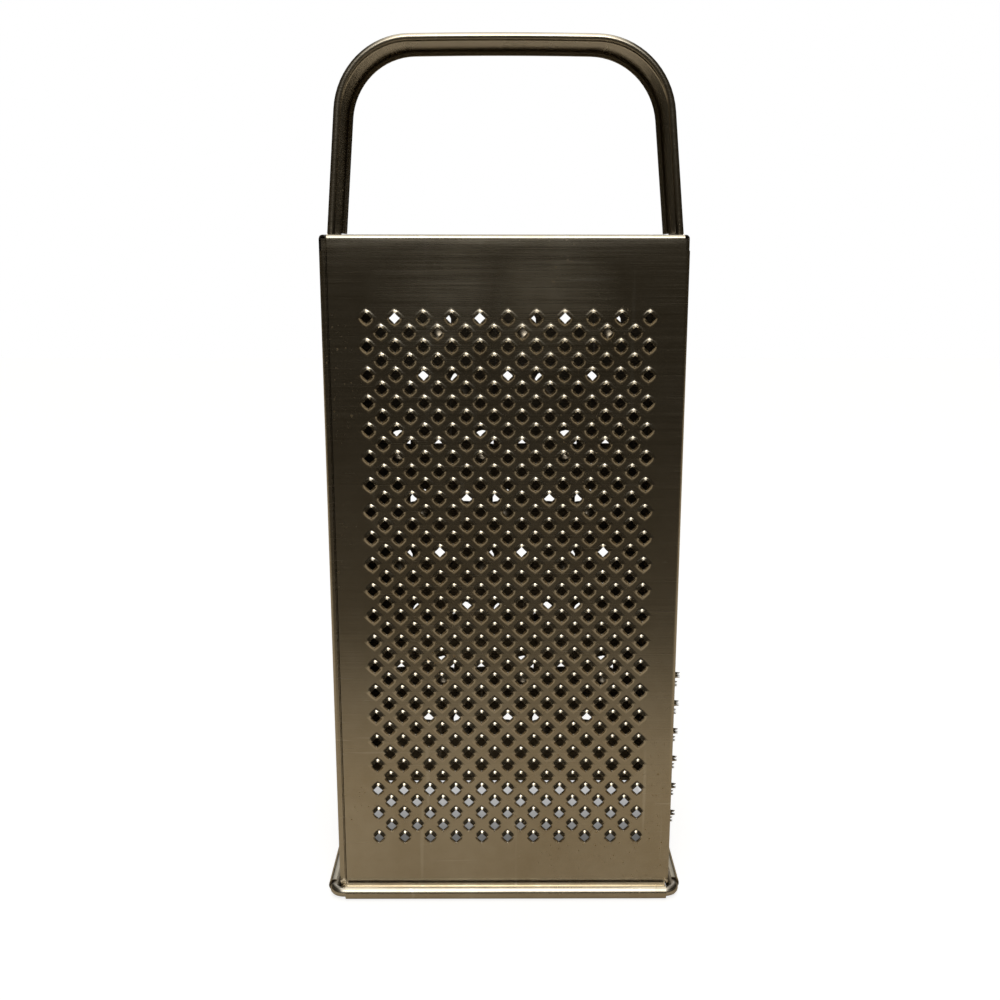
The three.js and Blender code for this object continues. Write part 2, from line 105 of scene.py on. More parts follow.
class Workpiece:
    """A mesh on the bench, open in edit mode while it is shaped."""

    def __init__(self, name: str) -> None:
        """Take the primitive that was just added as the start of a piece.

        Args:
            name: The piece's name.
        """
        self.body = bpy.context.active_object
        self.body.name = name
        self.body.data.name = name
        self.open()

    @classmethod
    def from_plate(
        cls, name: str, left: float, right: float, bottom: float, top: float
    ) -> "Workpiece":
        """Start from an upright plate that faces the front.

        Args:
            name: The piece's name.
            left: The plate's left edge.
            right: Its right edge.
            bottom: Its lower edge.
            top: Its upper edge.

        Returns:
            The piece, with its plate as one face.
        """
        cls.clear_bench()
        bpy.ops.mesh.primitive_plane_add(
            size=1,
            location=((left + right) / 2, 0, (bottom + top) / 2),
            rotation=STANDING,
        )
        bpy.context.active_object.scale = (right - left, top - bottom, 1)
        bpy.ops.object.transform_apply(location=True, rotation=True, scale=True)
        return cls(name)

    @classmethod
    def from_loop(
        cls, name: str, corners: int, reach: float, rotation: Place, place: Place
    ) -> "Workpiece":
        """Start from a loop of edges.

        Args:
            name: The piece's name.
            corners: How many corners the loop has.
            reach: The corners' distance from its middle.
            rotation: How the loop is turned.
            place: Its middle.

        Returns:
            The piece, with the loop and no face.
        """
        cls.clear_bench()
        bpy.ops.mesh.primitive_circle_add(
            vertices=corners, radius=reach, location=place, rotation=rotation
        )
        bpy.ops.object.transform_apply(location=True, rotation=True, scale=True)
        return cls(name)

    @staticmethod
    def clear_bench() -> None:
        """Leave edit mode and deselect everything."""
        active = bpy.context.view_layer.objects.active
        if active is not None and active.mode != "OBJECT":
            bpy.ops.object.mode_set(mode="OBJECT")
        bpy.ops.object.select_all(action="DESELECT")

    def open(self) -> None:
        """Make this the only selected piece and enter edit mode."""
        self.close()
        bpy.ops.object.mode_set(mode="EDIT")

    def close(self) -> None:
        """Leave edit mode with this as the only selected piece."""
        self.clear_bench()
        self.body.select_set(True)
        bpy.context.view_layer.objects.active = self.body

    def copy(self, name: str) -> "Workpiece":
        """Copy the piece with a mesh of its own.

        Args:
            name: The copy's name.

        Returns:
            The copy.
        """
        self.close()
        bpy.ops.object.duplicate(linked=False)
        return Workpiece(name)

    def take_in(self, others: Iterable["Workpiece"]) -> None:
        """Join other pieces' meshes to this one and weld what meets.

        Args:
            others: The pieces that end in this one.
        """
        self.close()
        for other in others:
            other.body.select_set(True)
        bpy.ops.object.join()
        self.open()
        self.weld()

    def add_loop(self, corners: int, reach: float, cuts: int, lift: float) -> None:
        """Add an upright loop of edges round the origin to the open mesh.

        Args:
            corners: How many corners the loop has.
            reach: The corners' distance from the origin.
            cuts: How many cuts divide each of its sides.
            lift: How far it stands out to the front.
        """
        bpy.ops.mesh.primitive_circle_add(
            vertices=corners, radius=reach, location=(0, -lift, 0), rotation=STANDING
        )
        if cuts:
            bpy.ops.mesh.subdivide(number_cuts=cuts)

    def pick(self, part: Part, test: Test) -> None:
        """Select what lies where a test says: every end of an edge, the middle of a face.

        Args:
            part: What is selected.
            test: Says whether a place is taken in.
        """
        bpy.ops.mesh.select_mode(type=part.value)
        bpy.ops.mesh.select_all(action="DESELECT")
        mesh = bmesh.from_edit_mesh(self.body.data)
        if part is Part.VERTICES:
            for vertex in mesh.verts:
                vertex.select_set(test(vertex.co))
        elif part is Part.EDGES:
            for edge in mesh.edges:
                edge.select_set(all(test(vertex.co) for vertex in edge.verts))
        else:
            for face in mesh.faces:
                face.select_set(test(face.calc_center_median()))
        mesh.select_flush_mode()
        bmesh.update_edit_mesh(self.body.data)

    def extrude(self, x: float = 0.0, y: float = 0.0, z: float = 0.0) -> None:
        """Pull the selection out along a straight line."""
        bpy.ops.mesh.extrude_region_move(TRANSFORM_OT_translate={"value": (x, y, z)})

    def move(self, x: float = 0.0, y: float = 0.0, z: float = 0.0) -> None:
        """Move the selection."""
        bpy.ops.transform.translate(value=(x, y, z))

    def resize(self, factors: Place, centre: Place) -> None:
        """Scale the selection about a place."""
        bpy.ops.transform.resize(value=factors, center_override=centre)

    def spin(self, axis: Place, centre: Place, angle: float, steps: int) -> None:
        """Sweep the selected edges or vertices round an axis.

        Args:
            axis: The axis' direction.
            centre: A place on it.
            angle: How far to turn, in radians.
            steps: How many facets the turn has.
        """
        bpy.ops.mesh.spin(steps=steps, angle=-angle, center=centre, axis=axis)

    def cut(self, place: Place, normal: Place, drop_outer: bool = False) -> None:
        """Cut the selected faces with a plane.

        Args:
            place: A place on the plane.
            normal: The plane's normal.
            drop_outer: Whether what lies on the normal's side goes.
        """
        bpy.ops.mesh.bisect(plane_co=place, plane_no=normal, clear_outer=drop_outer, threshold=NEAR)

    def weld(self) -> None:
        """Merge vertices that meet."""
        bpy.ops.mesh.select_mode(type="VERT")
        bpy.ops.mesh.select_all(action="SELECT")
        bpy.ops.mesh.remove_doubles(threshold=NEAR)

    def turn_out(self, place: Place, outward: Place) -> None:
        """Weld the mesh and make its faces point outwards.

        Args:
            place: Where the right direction is known.
            outward: The direction that is outwards there.
        """
        self.weld()
        bpy.ops.mesh.normals_make_consistent(inside=False)
        mesh = bmesh.from_edit_mesh(self.body.data)
        known = Vector(place)
        nearest = min(mesh.faces, key=lambda face: (face.calc_center_median() - known).length)
        if nearest.normal.dot(Vector(outward)) < 0:
            bpy.ops.mesh.flip_normals()

    def apply(self, kind: str, **settings: object) -> None:
        """Add a modifier and apply it.

        Args:
            kind: The modifier's type.
            settings: Its settings.
        """
        self.close()
        modifier = self.body.modifiers.new(kind.lower(), kind)
        for key, value in settings.items():
            setattr(modifier, key, value)
        bpy.ops.object.modifier_apply(modifier=modifier.name)
        self.open()

    def repeat(self, count: int, step: Place) -> None:
        """Repeat the mesh in a row.

        Args:
            count: How many there are in the end.
            step: From one to the next.
        """
        self.apply(
            "ARRAY",
            count=count,
            use_relative_offset=False,
            use_constant_offset=True,
            constant_offset_displace=step,
        )

    def weigh(self, group: str, weight: float) -> None:
        """Give the selected vertices a weight in a group.

        Args:
            group: The group's name.
            weight: Their share of the gauge.
        """
        groups = self.body.vertex_groups
        groups.active = groups.get(group) or groups.new(name=group)
        bpy.context.scene.tool_settings.vertex_group_weight = weight
        bpy.ops.object.vertex_group_assign()

    def thicken(self, gauge: float, group: str = "", edge_finish: int = 0) -> None:
        """Give the sheet its gauge, behind its faces.

        Args:
            gauge: How thick the sheet is.
            group: The group of vertices whose weights thin it, where there is one.
            edge_finish: Which of the piece's finishes its cut edges get.
        """
        self.apply(
            "SOLIDIFY",
            thickness=gauge,
            offset=-1.0,
            use_even_offset=True,
            thickness_clamp=1.0,
            vertex_group=group,
            material_offset_rim=edge_finish,
        )

    def set_in_frame(self, turn: float = 0.0, place: Place = ORIGIN) -> None:
        """Put the piece where it belongs and set it from millimetres to metres.

        Args:
            turn: How far it turns about the upright axis, after the move.
            place: Where its own origin goes.
        """
        self.close()
        spot = Vector(place) * MM
        spot.rotate(Euler((0, 0, turn)))
        self.body.location = spot
        self.body.rotation_euler = (0, 0, turn)
        self.body.scale = (MM, MM, MM)
        bpy.ops.object.transform_apply(location=True, rotation=True, scale=True)

    def pick_facing(self, direction: Place, test: Test) -> None:
        """Select the faces that face a way and whose middles a test takes in.

        Args:
            direction: The way.
            test: Says whether a place is taken in.
        """
        bpy.ops.mesh.select_mode(type=Part.FACES.value)
        bpy.ops.mesh.select_all(action="DESELECT")
        mesh = bmesh.from_edit_mesh(self.body.data)
        way = Vector(direction)
        for face in mesh.faces:
            face.select_set(face.normal.dot(way) > FACING and test(face.calc_center_median()))
        bmesh.update_edit_mesh(self.body.data)

    def dress(self, materials: Iterable[bpy.types.Material]) -> None:
        """Give the piece its finishes, the first of them all over.

        Args:
            materials: The finishes.
        """
        self.body.data.materials.clear()
        for material in materials:
            self.body.data.materials.append(material)

    def give_finish(self, index: int) -> None:
        """Give the selected faces one of the piece's finishes."""
        self.body.active_material_index = index
        bpy.ops.object.material_slot_assign()

    def finish(self, node: str, slot: str, angle: float = PLAIN_SMOOTHING) -> None:
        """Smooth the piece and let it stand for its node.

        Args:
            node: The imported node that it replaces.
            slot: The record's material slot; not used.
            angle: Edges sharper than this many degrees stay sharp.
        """
        self.close()
        bpy.ops.object.shade_smooth_by_angle(angle=math.radians(angle))
        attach(self.body, "root")
        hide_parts(node)
        LOG.info("%s stands for %s: %d faces", self.body.name, node, len(self.body.data.polygons))


@dataclass(frozen=True)
class Limits:
    """The rectangle that a sheet's worked field fills."""

    left: float
    right: float
    bottom: float
    top: float


@dataclass(frozen=True)
class BodySizes:
    """Sizes that the four sides share, in millimetres."""

    width: float = 101.0
    depth: float = 76.0
    height: float = 197.5
    gauge: float = 0.5
    fit: float = 0.3
    corner_radius: float = 1.2
    flange: float = 0.45
    seam: float = 0.6
    joggle: float = 0.34
    lap_gap: float = 0.12
    wire: float = 2.9
    wide_lean: float = 0.85
    narrow_lean: float = -0.3
    flare_height: float = 11.0
    hem_setback: float = 1.3
    hem_turn: float = math.radians(282)
    upper_lean: float = 0.2
    upper_drop: float = 0.6
    corner_top: float = 193.3
    slit: float = 6.3
    foot: float = 3.4
    fold_radius: float = 1.0
    fold_leg: float = 4.0

    @property
    def hem_inner(self) -> float:
        """Give the roll's inner radius."""
        return self.wire / 2 + self.fit

    @property
    def wire_height(self) -> float:
        """Give the height of the wire's middle."""
        return self.hem_inner + self.gauge

    @property
    def tuck(self) -> float:
        """Give how far an edge is stepped in under its neighbour."""
        return self.gauge + self.fit

    @property
    def plate_top(self) -> float:
        """Give the height at which the top fold begins."""
        return self.height - self.fold_radius


@dataclass
class SidePanel(ABC):
    """One stamped side: a worked field, a top fold, a base hem and two corner edges."""

    body: BodySizes
    name: str
    node: str
    width: float
    reach: float
    lean: float
    quarter: int
    smoothing: float = PLAIN_SMOOTHING

    @property
    def half(self) -> float:
        """Give half the side's width."""
        return self.width / 2

    @property
    def bend(self) -> float:
        """Give where the right corner begins."""
        return self.half - self.body.corner_radius

    @property
    def face(self) -> float:
        """Give the left end of the open face, at the lap seam."""
        return self.body.seam + self.body.flange + self.body.corner_radius - self.half

    @property
    def hem_end(self) -> float:
        """Give the right end of the base hem."""
        return self.half - self.body.hem_setback

    @property
    def fold_end(self) -> float:
        """Give the right end of the top fold."""
        return self.half - self.body.tuck - self.body.gauge - self.body.fit

    @abstractmethod
    def field(self) -> tuple[Workpiece, Limits]:
        """Make the worked field of the side.

        Returns:
            The open piece and the rectangle that it fills.
        """

    def build(self, outside: bpy.types.Material, inside: bpy.types.Material) -> None:
        """Make the side, dress it and put it in its place.

        Args:
            outside: The sheet's finish.
            inside: The darker finish, with painted shade, of the faces that look into the body and
                of the cut edges.
        """
        work, limits = self.field()
        self.extend(work, limits)
        self.fold_top(work)
        self.roll_hem(work)
        self.bend_corner(work)
        self.step_in_edge(work)
        work.turn_out((0, 0, self.body.plate_top - 1), FORWARD)
        finishes = (outside, inside)
        # Painted shade: the darker inside finish goes on the cut edges and on the faces that look
        # into the body, standing in for the shade within the body and its holes.
        dull = finishes.index(inside)
        work.dress(finishes)
        work.thicken(self.body.gauge, self.thin_lips(work), dull)
        work.pick_facing(INWARD, lambda co: co.z > self.body.wire_height)
        work.give_finish(dull)
        work.set_in_frame(self.quarter * math.pi / 2, (0, -self.reach, 0))
        work.finish(self.node, "brushed_sheet", self.smoothing)

    def thin_lips(self, _: Workpiece) -> str:
        """Leave the sheet at its full gauge."""
        return ""

    def extend(self, work: Workpiece, limits: Limits) -> None:
        """Pull the field's borders out to where the folds and corners begin.

        Args:
            work: The open piece.
            limits: The rectangle that the field fills.
        """
        steps = (
            (0, limits.left, self.face),
            (0, limits.right, self.fold_end),
            (0, self.fold_end, self.hem_end),
            (0, self.hem_end, self.bend),
            (2, limits.bottom, self.body.flare_height),
            (2, limits.top, self.body.corner_top),
            (2, self.body.corner_top, self.body.plate_top),
        )
        for axis, start, end in steps:
            if not meets(start, end):
                work.pick(Part.EDGES, lambda co: meets(co[axis], start) and abs(co.y) < NEAR)
                shift = [0.0, 0.0, 0.0]
                shift[axis] = end - start
                work.extrude(*shift)

    def fold_top(self, work: Workpiece) -> None:
        """Fold the top edge inwards.

        Args:
            work: The open piece.
        """
        top = self.body.plate_top
        radius = self.body.fold_radius
        work.pick(
            Part.EDGES,
            lambda co: meets(co.z, top) and within(co.x, self.face, self.fold_end),
        )
        work.spin(ROLLING, (0, radius, top), math.pi, FOLD_FACETS)
        work.extrude(z=-self.body.fold_leg)

    def roll_hem(self, work: Workpiece) -> None:
        """Lean the foot of the sheet out and roll it up round the base wire.

        Args:
            work: The open piece.
        """
        body = self.body
        work.pick(
            Part.EDGES,
            lambda co: meets(co.z, body.flare_height) and within(co.x, self.face, self.hem_end),
        )
        drop = body.flare_height - body.wire_height
        work.extrude(y=-body.upper_lean * self.lean, z=-body.upper_drop * drop)
        work.extrude(y=(body.upper_lean - 1) * self.lean, z=(body.upper_drop - 1) * drop)
        centre = (0, -self.lean - body.hem_inner, body.wire_height)
        work.spin(ROLLING, centre, body.hem_turn, HEM_FACETS)

    def bend_corner(self, work: Workpiece) -> None:
        """Bend the right edge round the corner and bring its foot down beside the hem.

        Args:
            work: The open piece.
        """
        body = self.body
        radius = body.corner_radius
        level = body.flare_height
        work.pick(
            Part.EDGES,
            lambda co: meets(co.x, self.bend) and within(co.z, level, body.corner_top),
        )
        work.spin(ALONG_Z, (self.bend, radius, 0), math.pi / 2, CORNER_FACETS)
        work.extrude(y=body.flange)
        work.pick(
            Part.EDGES,
            lambda co: meets(co.z, level) and within(co.x, self.hem_end, self.half),
        )
        work.extrude(z=body.slit - level)
        work.extrude(z=body.foot - body.slit)

    def step_in_edge(self, work: Workpiece) -> None:
        """Step the left edge in, to lie under the next side's flange.

        Args:
            work: The open piece.
        """
        body = self.body
        work.pick(
            Part.EDGES,
            lambda co: meets(co.x, self.face)
            and within(co.y, min(-self.lean, 0), max(-self.lean, 0))
            and within(co.z, body.wire_height, body.plate_top),
        )
        work.extrude(x=-body.joggle, y=body.tuck)
        work.extrude(x=body.gauge + body.lap_gap - self.half - self.face + body.joggle)


@dataclass(frozen=True)
class Tooth:
    """A diamond hole in a collar that is pushed out of the sheet, in millimetres."""

    base: float
    corner: float
    hole: float
    raised: float
    tip: float
    swell: float
    rings: int
    lip: float

    def tile(self, name: str, pitch: float) -> Workpiece:
        """Model one tooth in a diamond of plain sheet round the origin.

        Args:
            name: The tile's name.
            pitch: The pitch of the teeth along a row.

        Returns:
            The open tile.
        """
        work = Workpiece.from_loop(name, 4, pitch / 2, STANDING, (0, 0, 0))
        work.pick(Part.EDGES, everywhere)
        bpy.ops.mesh.subdivide(number_cuts=2)
        work.add_loop(12, self.base, 0, 0)
        work.pick(
            Part.VERTICES,
            lambda co: meets(off_axis(co), self.base) and min(abs(co.x), abs(co.z)) < NEAR,
        )
        stretch = self.corner / self.base
        work.resize((stretch, 1, stretch), (0, 0, 0))
        work.pick(Part.EDGES, everywhere)
        bpy.ops.mesh.bridge_edge_loops(number_cuts=1, interpolation="LINEAR")
        work.add_loop(4, self.hole, 2, self.raised)
        work.pick(
            Part.EDGES,
            lambda co: within(off_axis(co), self.base, self.corner) or meets(co.y, -self.raised),
        )
        bpy.ops.mesh.bridge_edge_loops(number_cuts=self.rings, interpolation="LINEAR")
        for ring in range(1, self.rings + 1):
            share = ring / (self.rings + 1)
            level = -self.raised * share
            work.pick(Part.VERTICES, lambda co: abs(co.y - level) < self.raised / 40)
            work.move(y=self.raised * (share - share**self.swell))
        if self.tip:
            work.pick(
                Part.VERTICES,
                lambda co: meets(co.y, -self.raised) and meets(off_axis(co), self.hole),
            )
            work.move(y=-self.tip)
        return work

    def thin(self, work: Workpiece, floor: float) -> str:
        """Thin the sheet towards the lips of the teeth.

        Args:
            work: The open sheet.
            floor: The height above which all that stands out is a tooth.

        Returns:
            The name of the group that holds the thinning.
        """
        group = "gauge"
        work.pick(Part.VERTICES, everywhere)
        work.weigh(group, 1.0)
        work.pick(Part.VERTICES, lambda co: co.z > floor and co.y < NEAR - self.raised)
        work.weigh(group, self.lip)
        return group


@dataclass(frozen=True)
class Lattice:
    """Staggered rows of places, with the fuller row on top, in millimetres."""

    pitch: float
    columns: int
    rows: int
    middle: float
    top: float

    @property
    def left(self) -> float:
        """Give the first place of a full row."""
        return self.middle - (self.columns - 1) * self.pitch / 2

    @property
    def bottom(self) -> float:
        """Give the height of the lowest row."""
        return self.top - (self.rows - 1) * self.pitch / 2

    @property
    def limits(self) -> Limits:
        """Give the rectangle that the rows fill.

        Returns:
            The rectangle, half a pitch beyond the last places.
        """
        edge = self.pitch / 2
        right = self.left + (self.columns - 1) * self.pitch
        return Limits(self.left - edge, right + edge, self.bottom - edge, self.top + edge)

    def holds(self, place: Vector) -> bool:
        """Tell whether a place of the lattice belongs to the pattern.

        Args:
            place: The place.

        Returns:
            Whether a tooth stands there.
        """
        limits = self.limits
        between = limits.left + NEAR < place.x < limits.right - NEAR
        return between and within(place.z, self.bottom, self.top)

    def sheet(self, name: str, tooth: Tooth) -> Workpiece:
        """Lay out the teeth with plain sheet round them, and trim the rectangle.

        Args:
            name: The sheet's name.
            tooth: What stands at each place.

        Returns:
            The open sheet.
        """
        full = tooth.tile(name, self.pitch)
        gap = tooth.tile("gap", self.pitch)
        plain = Workpiece.from_loop("plain", 4, self.pitch / 2, STANDING, (0, 0, 0))
        plain.pick(Part.EDGES, everywhere)
        bpy.ops.mesh.subdivide(number_cuts=2)
        plain.pick(Part.EDGES, everywhere)
        bpy.ops.mesh.edge_face_add()
        plain_gap = plain.copy("plain_gap")
        half = self.pitch / 2
        pairs = (self.rows + 1) // 2
        self.spread(full, self.left, self.top, self.columns, pairs)
        self.spread(gap, self.left + half, self.top - half, self.columns - 1, self.rows // 2)
        self.spread(plain, self.left, self.top + self.pitch, self.columns, pairs + 2)
        self.spread(plain_gap, self.left - half, self.top + half, self.columns + 1, pairs + 1)
        for spare in (plain, plain_gap):
            spare.open()
            spare.pick(Part.FACES, self.holds)
            bpy.ops.mesh.delete(type="FACE")
        full.take_in((gap, plain, plain_gap))
        self.trim(full)
        return full

    def spread(self, tile: Workpiece, left: float, top: float, columns: int, rows: int) -> None:
        """Repeat a tile over the lattice's places.

        Args:
            tile: The tile, round the origin.
            left: Where the first column goes.
            top: Where the top row goes.
            columns: How many tiles a row has.
            rows: How many rows there are, a pitch apart.
        """
        tile.open()
        tile.pick(Part.VERTICES, everywhere)
        tile.move(x=left, z=top)
        tile.repeat(columns, (self.pitch, 0, 0))
        tile.repeat(rows, (0, 0, -self.pitch))

    def trim(self, sheet: Workpiece) -> None:
        """Cut the sheet to the lattice's rectangle.

        Args:
            sheet: The open sheet.
        """
        limits = self.limits
        cuts = (
            ((limits.left, 0, 0), (-1, 0, 0)),
            ((limits.right, 0, 0), ALONG_X),
            ((0, 0, limits.bottom), (0, 0, -1)),
            ((0, 0, limits.top), ALONG_Z),
        )
        for place, normal in cuts:
            sheet.pick(Part.FACES, everywhere)
            sheet.cut(place, normal, drop_outer=True)


@dataclass
class FineSide(SidePanel):
    """The front: fine diamond teeth all over."""

    tooth: Tooth = Tooth(
        base=2.0, corner=2.38, hole=1.64, raised=0.78, tip=0.0, swell=1.3, rings=1, lip=0.34
    )
    lattice: Lattice = Lattice(pitch=7.8, columns=11, rows=41, middle=1.0, top=175.2)

    def field(self) -> tuple[Workpiece, Limits]:
        """Lay out the fine teeth."""
        return self.lattice.sheet(self.name, self.tooth), self.lattice.limits

    def thin_lips(self, work: Workpiece) -> str:
        """Thin the lips of the teeth."""
        return self.tooth.thin(work, self.lattice.limits.bottom)


@dataclass
class CoarseSide(SidePanel):
    """The back: coarse shredding scoops in staggered rows."""

    pitch: float = 14.3
    row: float = 20.5
    columns: int = 6
    rows: int = 8
    top: float = 168.0
    wide: float = 4.0
    mouth: float = 5.0
    tail: float = 5.5
    lift: float = 2.2

    def tile(self, name: str) -> Workpiece:
        """Model one scoop in its rectangle of sheet, with its lip at the origin.

        Args:
            name: The tile's name.

        Returns:
            The open tile.
        """
        side, end = self.pitch / 2, self.row / 2
        work = Workpiece.from_plate(name, -side, side, -end, end)
        work.pick(Part.EDGES, everywhere)
        bpy.ops.mesh.delete(type="ONLY_FACE")
        work.pick(Part.EDGES, everywhere)
        bpy.ops.mesh.subdivide(number_cuts=3)
        work.add_loop(16, 1, 0, 0)
        work.resize((self.wide, 1, self.tail), (0, 0, 0))
        work.pick(
            Part.VERTICES,
            lambda co: NEAR < co.z < self.tail + NEAR and abs(co.x) < self.wide,
        )
        work.resize((1, 1, self.mouth / self.tail), (0, 0, 0))
        work.pick(Part.EDGES, everywhere)
        bpy.ops.mesh.bridge_edge_loops()
        work.pick(
            Part.EDGES,
            lambda co: co.z < NEAR and meets(math.hypot(co.x / self.wide, co.z / self.tail), 1),
        )
        work.spin(ROLLING, ORIGIN, math.pi / 2, 5)
        work.pick(Part.VERTICES, lambda co: co.y < -NEAR)
        work.resize((1, self.lift / self.tail, 1), (0, 0, 0))
        return work

    def field(self) -> tuple[Workpiece, Limits]:
        """Lay out the scoops, with half a plain tile at both ends of the shorter rows.

        Returns:
            The open piece and the rectangle that it fills.
        """
        full = self.tile(self.name)
        gap = self.tile("gap")
        left = -(self.columns - 1) * self.pitch / 2
        edge = left - self.pitch / 2
        low = self.top - self.row
        stub = Workpiece.from_plate(
            "stub", edge, edge + self.pitch / 2, low - self.row / 2, low + self.row / 2
        )
        stub.pick(Part.EDGES, everywhere)
        bpy.ops.mesh.subdivide(number_cuts=1)
        bpy.ops.mesh.subdivide(number_cuts=1)
        stub_copy = stub.copy("stub_copy")
        stub_copy.pick(Part.VERTICES, everywhere)
        stub_copy.move(x=-2 * edge - self.pitch / 2)
        starts = (
            (full, left, self.top, self.columns),
            (gap, left + self.pitch / 2, low, self.columns - 1),
        )
        for tile, x, z, count in starts:
            tile.open()
            tile.pick(Part.VERTICES, everywhere)
            tile.move(x=x, z=z)
            tile.repeat(count, (self.pitch, 0, 0))
        for strip in (full, gap, stub, stub_copy):
            strip.repeat(self.rows // 2, (0, 0, -2 * self.row))
        full.take_in((gap, stub, stub_copy))
        bottom = self.top - (self.rows - 1) * self.row - self.row / 2
        return full, Limits(edge, -edge, bottom, self.top + self.row / 2)


@dataclass(frozen=True)
class Slot:
    """A wide slicing slot whose lower lip is pushed out, in millimetres."""

    reach: float = 25.0
    shoulder: float = 24.2
    lip: float = 23.0
    mouth: float = 4.0
    tail: float = 9.0
    lift: float = 1.8
    rise: tuple[float, float, float] = (0.16, 0.55, 1.0)
    shoulder_rise: float = 0.6

    def punch(self, work: Workpiece, level: float, floor: float) -> None:
        """Punch the slot into a flat sheet.

        Args:
            work: The open sheet.
            level: The height of the lip.
            floor: The height above which the sheet is still plain.
        """
        rows = [level - self.tail * (3 - k) / 3 for k in range(4)] + [level + self.mouth]
        for z in rows:
            work.pick(Part.FACES, lambda co: co.z > floor)
            work.cut((0, 0, z), ALONG_Z)
        for x in (self.reach, self.shoulder, self.lip, -self.lip, -self.shoulder, -self.reach):
            work.pick(Part.FACES, lambda co: within(co.z, rows[0], rows[-1]))
            work.cut((x, 0, 0), ALONG_X)
        work.pick(Part.FACES, lambda co: within(co.z, level, rows[-1]) and abs(co.x) < self.reach)
        bpy.ops.mesh.delete(type="FACE")
        for z, share in zip(rows[1:], self.rise):
            work.pick(Part.VERTICES, lambda co: meets(co.z, z) and abs(co.x) < self.lip + NEAR)
            work.move(y=-self.lift * share)
            work.pick(Part.VERTICES, lambda co: meets(co.z, z) and meets(abs(co.x), self.shoulder))
            work.move(y=-self.shoulder_rise * self.lift * share)


@dataclass
class SlicingSide(SidePanel):
    """A narrow side with slicing slots."""

    slot: Slot = Slot()
    lips: tuple[float, ...] = (42.0, 84.0, 126.0)

    def field(self) -> tuple[Workpiece, Limits]:
        """Punch the slots into a plain sheet.

        Returns:
            The open piece and the rectangle that it fills.
        """
        limits = Limits(self.face, self.fold_end, self.body.flare_height, self.body.corner_top)
        work = Workpiece.from_plate(self.name, limits.left, limits.right, limits.bottom, limits.top)
        for level in self.lips:
            self.slot.punch(work, level, limits.bottom)
        return work, limits


@dataclass
class ZestingSide(SidePanel):
    """The other narrow side: sharp zesting burrs low down, slicing slots above."""

    slot: Slot = Slot()
    lips: tuple[float, ...] = (95.0, 137.0)
    tooth: Tooth = Tooth(
        base=1.25, corner=1.3, hole=0.8, raised=1.1, tip=1.1, swell=1.3, rings=1, lip=0.3
    )
    lattice: Lattice = Lattice(pitch=9.0, columns=8, rows=12, middle=0.0, top=68.8)

    def field(self) -> tuple[Workpiece, Limits]:
        """Lay out the burrs and punch the slots above them.

        Returns:
            The open piece and the rectangle that it fills.
        """
        limits = self.lattice.limits
        work = self.lattice.sheet(self.name, self.tooth)
        work.pick(Part.FACES, everywhere)
        work.cut((self.face, 0, 0), (-1, 0, 0), drop_outer=True)
        work.pick(Part.EDGES, lambda co: meets(co.z, limits.top))
        work.extrude(z=self.body.corner_top - limits.top)
        for level in self.lips:
            self.slot.punch(work, level, limits.top)
        return work, Limits(self.face, limits.right, limits.bottom, self.body.corner_top)

    def thin_lips(self, work: Workpiece) -> str:
        """Thin the lips of the burrs."""
        return self.tooth.thin(work, self.lattice.limits.bottom)


@dataclass(frozen=True)
class Leg:
    """One half of the arch: where its leg stands, how it leans and how round its corner is."""

    side: int
    foot_x: float
    lean: float
    corner: float


